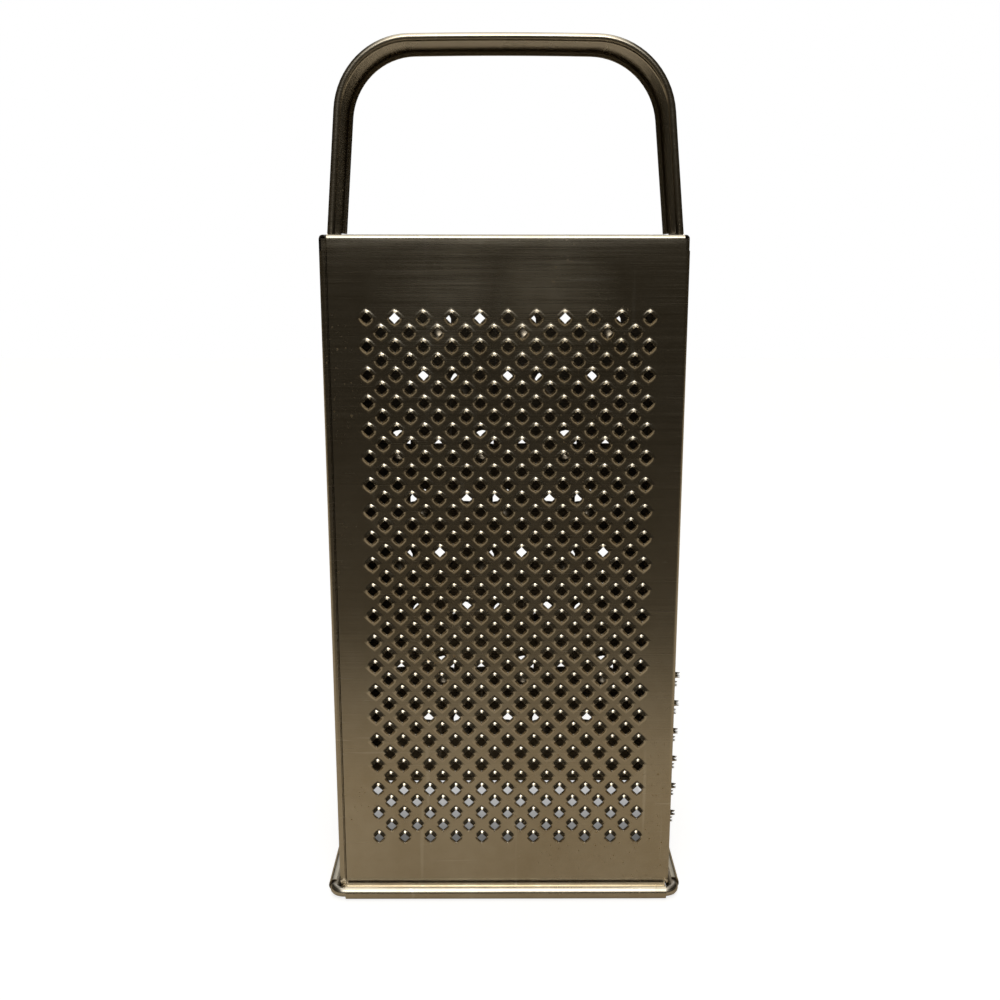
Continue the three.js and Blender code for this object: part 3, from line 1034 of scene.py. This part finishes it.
@dataclass
class StrapHandle:
    """The strap: an arch with curled edges and two flat tongues."""

    legs: tuple[Leg, Leg] = (
        Leg(side=-1, foot_x=51.25, lean=math.radians(4.8), corner=22.0),
        Leg(side=1, foot_x=52.0, lean=math.radians(5.6), corner=23.0),
    )
    foot_z: float = 197.8
    top: float = 252.5
    crown: float = 1400.0
    side: float = 15.5
    bead: float = 1.15
    return_leg: float = 1.0
    gauge: float = 0.7
    shoulder: float = 3.0
    tongue: float = 28.0
    tongue_corner: float = 6.0
    section_steps: tuple[float, float, float] = (0.1, 0.3, 0.6)

    @property
    def flat(self) -> float:
        """Give where the strap's curled edge begins."""
        return self.side - self.bead

    def build(self, material: bpy.types.Material) -> None:
        """Sweep both halves of the arch, join them and dress the strap.

        Args:
            material: The strap's finish.
        """
        left, right = (self.half_arch(leg) for leg in self.legs)
        right.take_in((left,))
        right.turn_out((0, 0, self.top), ALONG_Z)
        right.thicken(self.gauge)
        right.dress((material,))
        right.set_in_frame()
        right.finish("handle", "bright_strap")

    def half_arch(self, leg: Leg) -> Workpiece:
        """Sweep half the arch and mirror it from back to front.

        Args:
            leg: The half's leg.

        Returns:
            The open half.
        """
        work = self.edge_profile()
        self.sweep(work, leg)
        self.add_tongue(work, leg)
        work.apply("MIRROR", use_axis=(False, True, False), merge_threshold=NEAR)
        work.pick(Part.VERTICES, everywhere)
        work.resize((leg.side, 1, 1), (0, 0, 0))
        return work

    def edge_profile(self) -> Workpiece:
        """Draw half the strap's section on top of the arch, from its middle to its curled edge.

        Returns:
            The open piece with the section's edges.
        """
        work = Workpiece.from_loop("strap_handle", 4, self.flat, FACING_X, (0, 0, self.top))
        work.pick(Part.VERTICES, lambda co: not (meets(co.z, self.top) and co.y > 0))
        bpy.ops.mesh.delete(type="VERT")
        work.pick(Part.VERTICES, everywhere)
        for share in self.section_steps:
            work.extrude(y=-self.flat * share)
        work.pick(Part.VERTICES, lambda co: meets(co.y, self.flat))
        work.spin(ROLLING, (0, self.flat, self.top - self.bead), math.pi, 10)
        work.extrude(y=-self.return_leg)
        return work

    def sweep(self, work: Workpiece, leg: Leg) -> None:
        """Sweep the section round the crown and the corner and down the leg.

        Args:
            work: The open section.
            leg: The half's leg.
        """
        outward = Vector((math.cos(leg.lean), 0, math.sin(leg.lean)))
        foot = Vector((leg.foot_x, 0, self.foot_z))
        drop = self.crown - leg.corner
        centre = self.top - self.crown
        across = foot.dot(outward) - leg.corner - outward.z * centre
        half_crown = math.asin(across / drop) - leg.lean
        corner = Vector((drop * math.sin(half_crown), 0, centre + drop * math.cos(half_crown)))
        work.pick(Part.EDGES, everywhere)
        work.spin(ALONG_Y, (0, 0, centre), half_crown, 4)
        work.spin(ALONG_Y, tuple(corner), math.pi / 2 - half_crown - leg.lean, 16)
        run = (foot - corner - leg.corner * outward) / 2
        work.extrude(*run)
        work.extrude(*run)

    def add_tongue(self, work: Workpiece, leg: Leg) -> None:
        """Run the flat of the strap down to a tongue with round corners.

        Args:
            work: The open half.
            leg: The half's leg.
        """
        level = self.foot_z - self.shoulder
        bottom = self.foot_z - self.tongue
        work.pick(
            Part.EDGES,
            lambda co: meets(co.x, leg.foot_x)
            and meets(co.z, self.foot_z)
            and co.y < self.flat + NEAR,
        )
        work.extrude(z=-self.shoulder)
        work.pick(Part.VERTICES, lambda co: meets(co.z, level) and meets(co.y, self.flat))
        work.move(y=self.bead)
        work.pick(Part.EDGES, lambda co: meets(co.z, level))
        work.extrude(z=bottom - level)
        work.pick(Part.VERTICES, lambda co: meets(co.z, bottom) and meets(co.y, self.side))
        bpy.ops.mesh.bevel(offset=self.tongue_corner, segments=5, affect="VERTICES")


@dataclass
class BaseWire:
    """The wire that stiffens the base, a closed ring inside the hems."""

    body: BodySizes
    bend: float = 3.0

    def build(self, material: bpy.types.Material) -> None:
        """Sweep a quarter of the ring, mirror it and dress it.

        Args:
            material: The wire's finish.
        """
        body = self.body
        bend = self.bend
        reach_x = body.width / 2 + body.narrow_lean + body.hem_inner - bend
        reach_y = body.depth / 2 + body.wide_lean + body.hem_inner - bend
        work = Workpiece.from_loop(
            "base_wire_ring", 16, body.wire / 2, FACING_X, (0, -reach_y - bend, body.wire_height)
        )
        work.pick(Part.EDGES, everywhere)
        work.extrude(x=reach_x)
        work.spin(ALONG_Z, (reach_x, -reach_y, 0), math.pi / 2, 10)
        work.extrude(y=reach_y)
        work.apply("MIRROR", use_axis=(True, True, False), merge_threshold=NEAR)
        work.turn_out((0, -reach_y - bend - body.wire / 2, body.wire_height), FORWARD)
        work.dress((material,))
        work.set_in_frame()
        work.finish("base_wire", "drawn_wire")


@dataclass
class Rivets:
    """Four domed rivets, two through each tongue."""

    shank: float = 1.5
    head: float = 3.0
    dome: float = 1.1
    right_seat: float = 52.0
    left_seat: float = 51.25
    tail: float = 48.9
    tail_edge: float = 0.2
    tail_height: float = 0.5
    tail_taper: float = 0.85
    head_edge: float = 0.25
    dome_angles: tuple[int, ...] = (0, 22, 45, 66, 82)
    height: float = 182.5
    spacing: float = 14.0

    def build(self, material: bpy.types.Material) -> None:
        """Make one rivet and set its copies in both tongues.

        Args:
            material: The rivets' finish.
        """
        sides = (("right", 0.0, self.right_seat), ("left", math.pi, self.left_seat))
        for side, turn, seat in sides:
            for end, along in (("front", -1), ("back", 1)):
                work = self.rivet(f"rivet_head_{side}_{end}", seat)
                along *= 1 if side == "right" else -1
                work.dress((material,))
                work.set_in_frame(turn, (0, along * self.spacing / 2, self.height))
                work.finish(f"rivet_{side}_{end}", "rivet_steel")

    def rivet(self, name: str, seat: float) -> Workpiece:
        """Model a rivet along the x axis, from its flat tail to its dome.

        Args:
            name: The rivet's name.
            seat: Where its head sits on the tongue.

        Returns:
            The open rivet.
        """
        rim = self.tail + self.tail_edge
        work = Workpiece.from_loop(name, 20, self.head, FACING_X, (rim, 0, 0))
        work.pick(Part.EDGES, everywhere)
        work.extrude(x=self.tail_height)
        work.extrude()
        work.resize((1, self.shank / self.head, self.shank / self.head), ORIGIN)
        work.extrude(x=seat - rim - self.tail_height)
        work.extrude()
        work.resize((1, self.head / self.shank, self.head / self.shank), ORIGIN)
        work.extrude(x=self.head_edge)
        turns = [math.radians(angle) for angle in self.dome_angles]
        for before, after in zip(turns, turns[1:]):
            work.extrude(x=(math.sin(after) - math.sin(before)) * self.dome)
            shrink = math.cos(after) / math.cos(before)
            work.resize((1, shrink, shrink), ORIGIN)
        bpy.ops.mesh.edge_face_add()
        work.pick(Part.EDGES, lambda co: meets(co.x, rim))
        work.extrude(x=-self.tail_edge)
        work.resize((1, self.tail_taper, self.tail_taper), ORIGIN)
        bpy.ops.mesh.edge_face_add()
        work.turn_out((seat + self.dome, 0, 0), ALONG_X)
        return work


class Graph:
    """A node tree that is being wired."""

    def __init__(self, tree: bpy.types.NodeTree) -> None:
        """Take a tree and empty it."""
        self.tree = tree
        tree.nodes.clear()

    def add(self, kind: str, **settings: object) -> bpy.types.Node:
        """Add a node.

        Args:
            kind: The node's type.
            settings: Its properties.

        Returns:
            The node.
        """
        node = self.tree.nodes.new(kind)
        for key, value in settings.items():
            setattr(node, key, value)
        return node

    def wire(self, source: Socket, target: Socket) -> None:
        """Link two sockets."""
        self.tree.links.new(source, target)

    def noise(
        self, scale: Place, detail: float, rough: float = 0.5, turn: Place = ORIGIN
    ) -> Socket:
        """Add a noise on object coordinates.

        Args:
            scale: How often it varies along each axis, per metre.
            detail: How many finer layers it has.
            rough: How strong these are.
            turn: How its axes are turned.

        Returns:
            The noise's value.
        """
        place = self.add("ShaderNodeTexCoord")
        mapping = self.add("ShaderNodeMapping")
        mapping.inputs["Scale"].default_value = scale
        mapping.inputs["Rotation"].default_value = turn
        noise = self.add("ShaderNodeTexNoise")
        noise.inputs["Scale"].default_value = 1.0
        noise.inputs["Detail"].default_value = detail
        noise.inputs["Roughness"].default_value = rough
        self.wire(place.outputs["Object"], mapping.inputs["Vector"])
        self.wire(mapping.outputs["Vector"], noise.inputs["Vector"])
        return noise.outputs["Fac"]

    def axes(self, source: str) -> tuple[Socket, ...]:
        """Split a texture coordinate.

        Args:
            source: The coordinate's name.

        Returns:
            Its values along x, y and z.
        """
        place = self.add("ShaderNodeTexCoord")
        split = self.add("ShaderNodeSeparateXYZ")
        self.wire(place.outputs[source], split.inputs["Vector"])
        return tuple(split.outputs)

    def band(
        self, value: Socket, low: float, high: float, start: float = 0.0, end: float = 1.0
    ) -> Socket:
        """Map a range of a value to another range and clamp it.

        Args:
            value: The value.
            low: Where the range starts.
            high: Where it ends.
            start: The result at its start.
            end: The result at its end.

        Returns:
            The mapped value.
        """
        node = self.add("ShaderNodeMapRange")
        node.inputs["From Min"].default_value = low
        node.inputs["From Max"].default_value = high
        node.inputs["To Min"].default_value = start
        node.inputs["To Max"].default_value = end
        self.wire(value, node.inputs["Value"])
        return node.outputs["Result"]

    def combine(self, operation: str, first: Socket, second: Socket | float) -> Socket:
        """Combine two values.

        Args:
            operation: The math node's operation.
            first: The first value.
            second: The second, linked or fixed.

        Returns:
            The result.
        """
        node = self.add("ShaderNodeMath", operation=operation)
        self.wire(first, node.inputs[0])
        if isinstance(second, float):
            node.inputs[1].default_value = second
        else:
            self.wire(second, node.inputs[1])
        return node.outputs["Value"]

    def blend(
        self,
        share: Socket,
        first: Socket | Colour,
        second: Socket | Colour,
    ) -> Socket:
        """Mix two colours.

        Args:
            share: How much of the second there is.
            first: The first colour, linked or fixed.
            second: The second colour, linked or fixed.

        Returns:
            The mixed colour.
        """
        node = self.add("ShaderNodeMix", data_type="RGBA")
        self.wire(share, node.inputs["Factor"])
        for colour, socket in ((first, node.inputs[6]), (second, node.inputs[7])):
            if isinstance(colour, tuple):
                socket.default_value = (*colour, 1.0)
            else:
                self.wire(colour, socket)
        return node.outputs[2]


TOUCHES: tuple[Place, ...] = ((-0.017, -0.038, 0.184), (0.011, -0.038, 0.181))
SCRATCH_TONE: Colour = (0.8, 0.77, 0.7)
SCRATCH_SHARE = 0.35
RESIDUE_TONE: Colour = (0.42, 0.31, 0.17)
RESIDUE_DULLING = 0.3
SMUDGE_DULLING = 0.2
BUMP_STRENGTH = 0.5


class Effect(Enum):
    """The surface effects that the finishes share."""

    BRUSHING = "fine brushing"
    PATINA = "patina"
    SCRATCHES = "scratches"
    RESIDUE = "dried residue"
    SMUDGES = "smudges"

    def tree(self) -> bpy.types.NodeTree:
        """Give the effect's node group, made at its first use.

        Returns:
            The group, with one output named Mask.
        """
        group = bpy.data.node_groups.get(self.value)
        if group is None:
            group = bpy.data.node_groups.new(self.value, "ShaderNodeTree")
            group.interface.new_socket("Mask", in_out="OUTPUT", socket_type="NodeSocketFloat")
            graph = Graph(group)
            makers = {
                Effect.BRUSHING: self.brushing,
                Effect.PATINA: self.patina,
                Effect.SCRATCHES: self.scratches,
                Effect.RESIDUE: self.residue,
                Effect.SMUDGES: self.smudges,
            }
            output = graph.add("NodeGroupOutput")
            graph.wire(makers[self](graph), output.inputs["Mask"])
        return group

    @staticmethod
    def brushing(graph: Graph) -> Socket:
        """Draw fine lines that run round the body.

        Args:
            graph: The group that is being wired.

        Returns:
            The mask.
        """
        fine = graph.band(graph.noise((26, 26, 5200), 2.0, 0.6), 0.25, 0.75, 0.0, 0.85)
        broad = graph.band(graph.noise((9, 9, 900), 2.0, 0.5), 0.3, 0.7, 0.0, 0.15)
        return graph.combine("ADD", fine, broad)

    @staticmethod
    def patina(graph: Graph) -> Socket:
        """Cloud the sheet with soft stains.

        Args:
            graph: The group that is being wired.

        Returns:
            The mask.
        """
        cloud = graph.band(graph.noise((26, 26, 19), 4.0, 0.55), 0.36, 0.64, 0.0, 0.68)
        mottle = graph.band(graph.noise((210, 210, 230), 3.0, 0.6), 0.35, 0.65, 0.0, 0.32)
        return graph.combine("ADD", cloud, mottle)

    @staticmethod
    def scratches(graph: Graph) -> Socket:
        """Scratch the sheet here and there.

        Args:
            graph: The group that is being wired.

        Returns:
            The mask.
        """
        steep = graph.noise((420, 420, 16), 1.0, 0.4, (0.3, 0.45, 0.2))
        slant = graph.noise((30, 30, 760), 1.0, 0.4, (0.25, -0.3, 0.15))
        steep = graph.band(steep, 0.71, 0.76)
        return graph.combine("MAXIMUM", steep, graph.band(slant, 0.74, 0.78))

    @staticmethod
    def residue(graph: Graph) -> Socket:
        """Leave small dry specks in a few places.

        Args:
            graph: The group that is being wired.

        Returns:
            The mask.
        """
        speck = graph.band(graph.noise((900, 900, 900), 2.0, 0.6), 0.66, 0.72)
        place = graph.band(graph.noise((30, 30, 24), 2.0, 0.5), 0.52, 0.62)
        return graph.combine("MULTIPLY", speck, place)

    @staticmethod
    def smudges(graph: Graph) -> Socket:
        """Dull the sheet below its top edge and where it was touched on the front.

        Args:
            graph: The group that is being wired.

        Returns:
            The mask.
        """
        place = graph.add("ShaderNodeTexCoord")
        x, _, z = graph.axes("Object")
        rubbed = graph.band(x, -0.005, 0.045, 0.5, 0.12)
        dull = graph.combine("MULTIPLY", graph.band(z, 0.186, 0.199), rubbed)
        for middle in TOUCHES:
            touch = graph.add("ShaderNodeVectorMath", operation="DISTANCE")
            touch.inputs[1].default_value = middle
            graph.wire(place.outputs["Object"], touch.inputs[0])
            spot = graph.band(touch.outputs["Value"], 0.003, 0.022, 0.7, 0.0)
            dull = graph.combine("MAXIMUM", dull, spot)
        cloud = graph.band(graph.noise((34, 34, 22), 3.0, 0.6), 0.3, 0.65, 0.4, 1.0)
        return graph.combine("MULTIPLY", dull, cloud)


@dataclass(frozen=True)
class SteelFinish:
    """Stainless steel: its tones, how rough it is and how much use shows."""

    name: str
    clean: Colour
    stained: Colour
    smooth: float
    coarse: float
    relief: float
    residue: float

    def material(self) -> bpy.types.Material:
        """Make the finish's material.

        Returns:
            The material.
        """
        material = bpy.data.materials.new(self.name)
        material.use_nodes = True
        graph = Graph(material.node_tree)
        shader = graph.add("ShaderNodeBsdfPrincipled")
        shader.inputs["Metallic"].default_value = 1.0
        output = graph.add("ShaderNodeOutputMaterial")
        graph.wire(shader.outputs["BSDF"], output.inputs["Surface"])
        masks = {effect: self.mask(graph, effect) for effect in Effect}
        tone = graph.blend(masks[Effect.PATINA], self.clean, self.stained)
        marks = graph.combine("MULTIPLY", masks[Effect.SCRATCHES], SCRATCH_SHARE)
        scratched = graph.blend(marks, tone, SCRATCH_TONE)
        specks = graph.combine("MULTIPLY", masks[Effect.RESIDUE], self.residue)
        graph.wire(graph.blend(specks, scratched, RESIDUE_TONE), shader.inputs["Base Color"])
        lines = graph.band(masks[Effect.BRUSHING], 0.0, 1.0, self.smooth, self.coarse)
        dry = graph.combine("MULTIPLY", specks, RESIDUE_DULLING)
        greasy = graph.combine("MULTIPLY", masks[Effect.SMUDGES], SMUDGE_DULLING)
        dull = graph.combine("ADD", dry, greasy)
        graph.wire(graph.combine("ADD", lines, dull), shader.inputs["Roughness"])
        bump = graph.add("ShaderNodeBump")
        bump.inputs["Distance"].default_value = self.relief
        bump.inputs["Strength"].default_value = BUMP_STRENGTH
        graph.wire(masks[Effect.BRUSHING], bump.inputs["Height"])
        graph.wire(bump.outputs["Normal"], shader.inputs["Normal"])
        return material

    @staticmethod
    def mask(graph: Graph, effect: Effect) -> Socket:
        """Place an effect's group and give its mask."""
        return graph.add("ShaderNodeGroup", node_tree=effect.tree()).outputs["Mask"]


SHEET_STEEL = SteelFinish(
    name="brushed sheet",
    clean=(0.6, 0.55, 0.46),
    stained=(0.5, 0.44, 0.34),
    smooth=0.13,
    coarse=0.3,
    relief=0.000012,
    residue=0.8,
)
# Painted shade: a darker, duller copy of the sheet steel for the faces inside the body and the cut
# edges, standing in for the shade there.
SHADED_INSIDE_STEEL = SteelFinish(
    name="dull inside with painted shade",
    clean=(0.24, 0.21, 0.17),
    stained=(0.17, 0.145, 0.11),
    smooth=0.22,
    coarse=0.34,
    relief=0.00001,
    residue=0.3,
)
STRAP_STEEL = SteelFinish(
    name="bright strap",
    clean=(0.64, 0.58, 0.48),
    stained=(0.54, 0.48, 0.38),
    smooth=0.16,
    coarse=0.26,
    relief=0.000004,
    residue=0.2,
)
WIRE_STEEL = SteelFinish(
    name="drawn wire",
    clean=(0.64, 0.6, 0.53),
    stained=(0.56, 0.5, 0.42),
    smooth=0.22,
    coarse=0.34,
    relief=0.00001,
    residue=0.0,
)
RIVET_STEEL = SteelFinish(
    name="rivet steel",
    clean=(0.66, 0.62, 0.55),
    stained=(0.58, 0.53, 0.45),
    smooth=0.2,
    coarse=0.3,
    relief=0.000005,
    residue=0.0,
)


@dataclass
class Studio:
    """The pale floor, the soft light and the camera."""

    floor_front: float = -1.2
    floor_back: float = 1.6
    floor_side: float = 1.4
    pale: Colour = (0.57, 0.49, 0.372)
    plain: Colour = (0.4, 0.4, 0.4)
    painted_far_shade: Colour = (0.0, 0.0, 0.0)
    white: Colour = (1.0, 1.0, 1.0)
    floor_glow: float = 0.8
    shade_front: float = -0.7
    shade_back: float = -0.3
    room: Colour = (0.025, 0.021, 0.014)
    backdrop: Colour = (0.8, 0.8, 0.78)
    sky: Colour = (1.7, 1.66, 1.55)
    lamp_place: Place = (0.0, -0.75, 0.85)
    lamp_aim: Place = (0.0, 0.0, 0.15)
    lamp_size: tuple[float, float] = (0.36, 0.4)
    lamp_power: float = 2.2
    lamp_colour: Colour = (1.0, 0.98, 0.93)
    camera_place: Place = (-0.0016, -0.3711, 0.1977)
    camera_pitch: float = 13.16
    camera_turn: float = -0.25
    camera_roll: float = -0.03
    lens: float = 43.2
    sensor: float = 36.0
    nearest: float = 0.01
    shift: tuple[float, float] = (-0.0041, 0.0145)

    def build(self) -> None:
        """Set up the floor, the light, the camera and the view."""
        self.add_floor()
        self.add_world()
        self.add_lamp()
        self.add_camera()
        bpy.context.scene.view_settings.view_transform = "Standard"

    def add_floor(self) -> None:
        """Lay a pale floor that keeps the shadow and looks white to the camera, with painted shade:
        darker under the body to the camera, and graded to black in front in reflections.
        """
        Workpiece.clear_bench()
        middle = (self.floor_front + self.floor_back) / 2
        bpy.ops.mesh.primitive_plane_add(size=1, location=(0, middle, 0))
        floor = bpy.context.active_object
        floor.name = "floor"
        floor.scale = (2 * self.floor_side, self.floor_back - self.floor_front, 1)
        bpy.ops.object.transform_apply(location=True, rotation=True, scale=True)
        material = bpy.data.materials.new("pale floor")
        material.use_nodes = True
        graph = Graph(material.node_tree)
        diffuse = graph.add("ShaderNodeBsdfDiffuse")
        glow = graph.add("ShaderNodeEmission")
        both = graph.add("ShaderNodeAddShader")
        path = graph.add("ShaderNodeLightPath")
        seen = path.outputs["Is Camera Ray"]
        x, y, _ = graph.axes("Object")
        # Painted shade in reflections: to every ray but the camera's, the floor's tone falls from
        # pale near the object to black in front, standing in for the light falling off.
        near_falloff = graph.band(y, -0.28, -0.115, 0.16, 1.0)
        far_falloff = graph.band(y, -0.9, -0.3, 0.35, 1.0)
        painted_falloff_floor = graph.blend(graph.combine("MULTIPLY", near_falloff, far_falloff), self.painted_far_shade, self.pale)
        graph.wire(graph.blend(seen, painted_falloff_floor, self.plain), diffuse.inputs["Color"])
        # Painted shade: inside the body's footprint the camera's glow is lowered, most towards the
        # front.
        across = graph.band(graph.combine("ABSOLUTE", x, 0.0), 0.049, 0.051, 1.0, 0.0)
        along = graph.band(graph.combine("ABSOLUTE", y, 0.0), 0.0365, 0.0385, 1.0, 0.0)
        under = graph.combine("MULTIPLY", across, along)
        shade = graph.band(y, -0.003, 0.036, self.shade_front, self.shade_back)
        strength = graph.combine("ADD", graph.combine("MULTIPLY", under, shade), self.floor_glow)
        graph.wire(graph.combine("MULTIPLY", seen, strength), glow.inputs["Strength"])
        output = graph.add("ShaderNodeOutputMaterial")
        graph.wire(diffuse.outputs["BSDF"], both.inputs[0])
        graph.wire(glow.outputs["Emission"], both.inputs[1])
        graph.wire(both.outputs["Shader"], output.inputs["Surface"])
        floor.data.materials.append(material)

    def add_world(self) -> None:
        """Surround the object with soft light from above, a dim room in front and white behind."""
        world = bpy.data.worlds.new("studio")
        bpy.context.scene.world = world
        world.use_nodes = True
        graph = Graph(world.node_tree)
        x, y, z = graph.axes("Generated")
        upper = graph.band(z, 0.32, 0.47)
        spread = graph.band(graph.combine("ABSOLUTE", x, 0.0), 0.16, 0.46, 1.0, 0.0)
        behind = graph.combine("MULTIPLY", graph.band(y, 0.75, 0.92), graph.band(z, 0.12, 0.3))
        room = graph.blend(behind, self.room, self.backdrop)
        ahead = graph.band(y, 0.3, 0.65, 1.0, 0.15)
        sky = graph.combine("MULTIPLY", graph.combine("MULTIPLY", upper, spread), ahead)
        light = graph.blend(sky, room, self.sky)
        path = graph.add("ShaderNodeLightPath")
        seen = graph.blend(path.outputs["Is Camera Ray"], light, self.white)
        background = graph.add("ShaderNodeBackground")
        output = graph.add("ShaderNodeOutputWorld")
        graph.wire(seen, background.inputs["Color"])
        graph.wire(background.outputs["Background"], output.inputs["Surface"])

    def add_lamp(self) -> None:
        """Hang a soft lamp in front of the object, above the camera."""
        lamp = bpy.data.lights.new("softbox", "AREA")
        lamp.shape = "RECTANGLE"
        lamp.size, lamp.size_y = self.lamp_size
        lamp.energy = self.lamp_power
        lamp.color = self.lamp_colour
        holder = bpy.data.objects.new("softbox", lamp)
        holder.location = self.lamp_place
        beam = Vector(self.lamp_aim) - Vector(self.lamp_place)
        holder.rotation_euler = beam.to_track_quat("-Z", "Y").to_euler()
        bpy.context.scene.collection.objects.link(holder)

    def add_camera(self) -> None:
        """Put the camera where the picture was taken from."""
        camera = bpy.data.cameras.new("camera")
        camera.lens = self.lens
        camera.sensor_width = self.sensor
        camera.shift_x, camera.shift_y = self.shift
        camera.clip_start = self.nearest
        holder = bpy.data.objects.new("camera", camera)
        holder.location = self.camera_place
        holder.rotation_euler = (
            math.radians(90 - self.camera_pitch),
            math.radians(self.camera_roll),
            math.radians(self.camera_turn),
        )
        bpy.context.scene.collection.objects.link(holder)
        bpy.context.scene.camera = holder


def main() -> None:
    """Build the sides, the handle, the wire, the rivets and the studio."""
    logging.basicConfig(level=logging.INFO, format="%(name)s: %(message)s")
    body = BodySizes()
    wide = (body.width, body.depth / 2, body.wide_lean)
    narrow = (body.depth, body.width / 2, body.narrow_lean)
    sheet = SHEET_STEEL.material()
    inside = SHADED_INSIDE_STEEL.material()
    sides = (
        FineSide(body, "fine_side", "front_panel", *wide, 0, TOOTH_SMOOTHING),
        ZestingSide(body, "zesting_side", "right_panel", *narrow, 1, TOOTH_SMOOTHING),
        CoarseSide(body, "coarse_side", "back_panel", *wide, 2),
        SlicingSide(body, "slicing_side", "left_panel", *narrow, 3),
    )
    for side in sides:
        side.build(sheet, inside)
    StrapHandle().build(STRAP_STEEL.material())
    BaseWire(body).build(WIRE_STEEL.material())
    Rivets().build(RIVET_STEEL.material())
    Studio().build()


if __name__ == "__main__":
    main()
